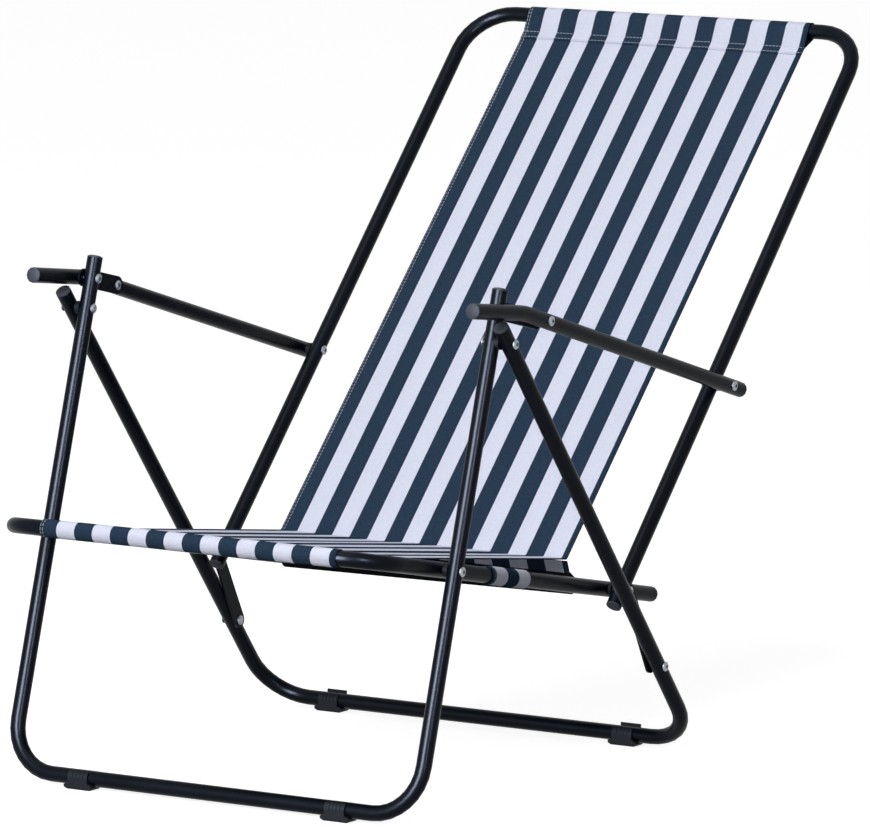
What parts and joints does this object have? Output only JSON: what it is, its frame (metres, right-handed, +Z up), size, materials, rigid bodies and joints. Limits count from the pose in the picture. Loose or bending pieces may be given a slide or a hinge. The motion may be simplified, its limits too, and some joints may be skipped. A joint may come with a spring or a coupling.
{
  "type": "folding lawn chair",
  "caption": "Low folding lawn chair: black bent steel tube frame with armrests, a one-piece striped cloth sling seat and a linkage that folds it flat.",
  "frame": {"origin": "on the floor under the middle of the bounding box", "axes": "+X to the right as seen from the front, +Y to the rear, +Z up; the sitter looks along -Y"},
  "size_m": [0.6486, 1.1304, 0.854],
  "materials": {
    "black_paint": "satin black powder coat on steel tube",
    "black_plastic": "moulded black plastic",
    "bolt_steel": "zinc plated steel",
    "striped_cloth": "woven textile, navy and white stripes along its length"
  },
  "bodies": {
    "front_legs": {"front_leg_frame": "black_paint", "front_leg_plug_right": "black_plastic", "front_leg_plug_left": "black_plastic", "front_foot_right": "black_plastic", "front_foot_left": "black_plastic", "leg_bolt_right": "bolt_steel", "leg_bolt_left": "bolt_steel", "leg_bush_right": "black_plastic", "leg_bush_left": "black_plastic", "seat_bolt_right": "bolt_steel", "seat_bolt_left": "bolt_steel", "seat_bush_right": "black_plastic", "seat_bush_left": "black_plastic", "bracket_bolt_right": "bolt_steel", "bracket_bolt_left": "bolt_steel"},
    "rear_legs": {"rear_leg_frame": "black_paint", "rear_leg_plug_right": "black_plastic", "rear_leg_plug_left": "black_plastic", "rear_foot_right": "black_plastic", "rear_foot_left": "black_plastic", "link_screw_right": "bolt_steel", "link_screw_left": "bolt_steel"},
    "seat": {"seat_frame": "black_paint", "seat_crossbar": "black_paint", "sling_seat": "striped_cloth", "sling_tail": "striped_cloth", "storage_strap": "striped_cloth", "seat_rail_plug_right": "black_plastic", "seat_rail_plug_left": "black_plastic", "hip_bolt_right": "bolt_steel", "hip_bolt_left": "bolt_steel", "hip_bush_right": "black_plastic", "hip_bush_left": "black_plastic"},
    "back": {"back_frame": "black_paint", "sling_back": "striped_cloth", "back_plug_right": "black_plastic", "back_plug_left": "black_plastic", "elbow_bolt_right": "bolt_steel", "elbow_bolt_left": "bolt_steel", "elbow_bush_right": "black_plastic", "elbow_bush_left": "black_plastic"},
    "arm_right": {"armrest_right": "black_paint", "arm_front_plug_right": "black_plastic", "arm_rear_plug_right": "black_plastic", "arm_screw_right": "bolt_steel"},
    "bracket_right": {"arm_bracket_right": "black_paint", "bracket_stud_right": "bolt_steel"},
    "link_right": {"link_right": "black_paint", "link_stud_right": "bolt_steel"},
    "arm_left": {"armrest_left": "black_paint", "arm_front_plug_left": "black_plastic", "arm_rear_plug_left": "black_plastic", "arm_screw_left": "bolt_steel"},
    "bracket_left": {"arm_bracket_left": "black_paint", "bracket_stud_left": "bolt_steel"},
    "link_left": {"link_left": "black_paint", "link_stud_left": "bolt_steel"}
  },
  "joints": [
    {"name": "seat_fold", "type": "hinge", "parent": "front_legs", "child": "seat", "pos_m": [0, -0.40795, 0.29274], "axis": [-1, 0, 0], "range_deg": [0, 87.34]},
    {"name": "leg_fold", "type": "hinge", "parent": "front_legs", "child": "rear_legs", "pos_m": [0, -0.32825, 0.55292], "axis": [-1, 0, 0], "range_deg": [0, 55.5]},
    {"name": "back_fold", "type": "hinge", "parent": "seat", "child": "back", "pos_m": [0, -0.03521, 0.21772], "axis": [1, 0, 0], "range_deg": [0, 113.63], "deforming": ["sling_back"]},
    {"name": "arm_fold_right", "type": "hinge", "parent": "back", "child": "arm_right", "pos_m": [0, 0.17813, 0.44408], "axis": [-1, 0, 0], "range_deg": [0, 111.53]},
    {"name": "bracket_fold_right", "type": "hinge", "parent": "front_legs", "child": "bracket_right", "pos_m": [0, -0.31745, 0.58816], "axis": [1, 0, 0], "range_deg": [0, 74.32]},
    {"name": "link_fold_right", "type": "hinge", "parent": "seat", "child": "link_right", "pos_m": [0, -0.03521, 0.21772], "axis": [-1, 0, 0], "range_deg": [0, 107.26]},
    {"name": "arm_fold_left", "type": "hinge", "parent": "back", "child": "arm_left", "pos_m": [0, 0.17813, 0.44408], "axis": [-1, 0, 0], "range_deg": [0, 111.53]},
    {"name": "bracket_fold_left", "type": "hinge", "parent": "front_legs", "child": "bracket_left", "pos_m": [0, -0.31745, 0.58816], "axis": [1, 0, 0], "range_deg": [0, 74.32]},
    {"name": "link_fold_left", "type": "hinge", "parent": "seat", "child": "link_left", "pos_m": [0, -0.03521, 0.21772], "axis": [-1, 0, 0], "range_deg": [0, 107.26]}
  ],
  "couplings": [
    {"joint": "leg_fold", "follows": "seat_fold", "ratio": 0.63532},
    {"joint": "back_fold", "follows": "seat_fold", "ratio": 1.3008},
    {"joint": "arm_fold_right", "follows": "seat_fold", "ratio": 1.2768},
    {"joint": "bracket_fold_right", "follows": "seat_fold", "ratio": 0.85075},
    {"joint": "link_fold_right", "follows": "seat_fold", "ratio": 1.2279},
    {"joint": "arm_fold_left", "follows": "seat_fold", "ratio": 1.2768},
    {"joint": "bracket_fold_left", "follows": "seat_fold", "ratio": 0.85075},
    {"joint": "link_fold_left", "follows": "seat_fold", "ratio": 1.2279}
  ]
}
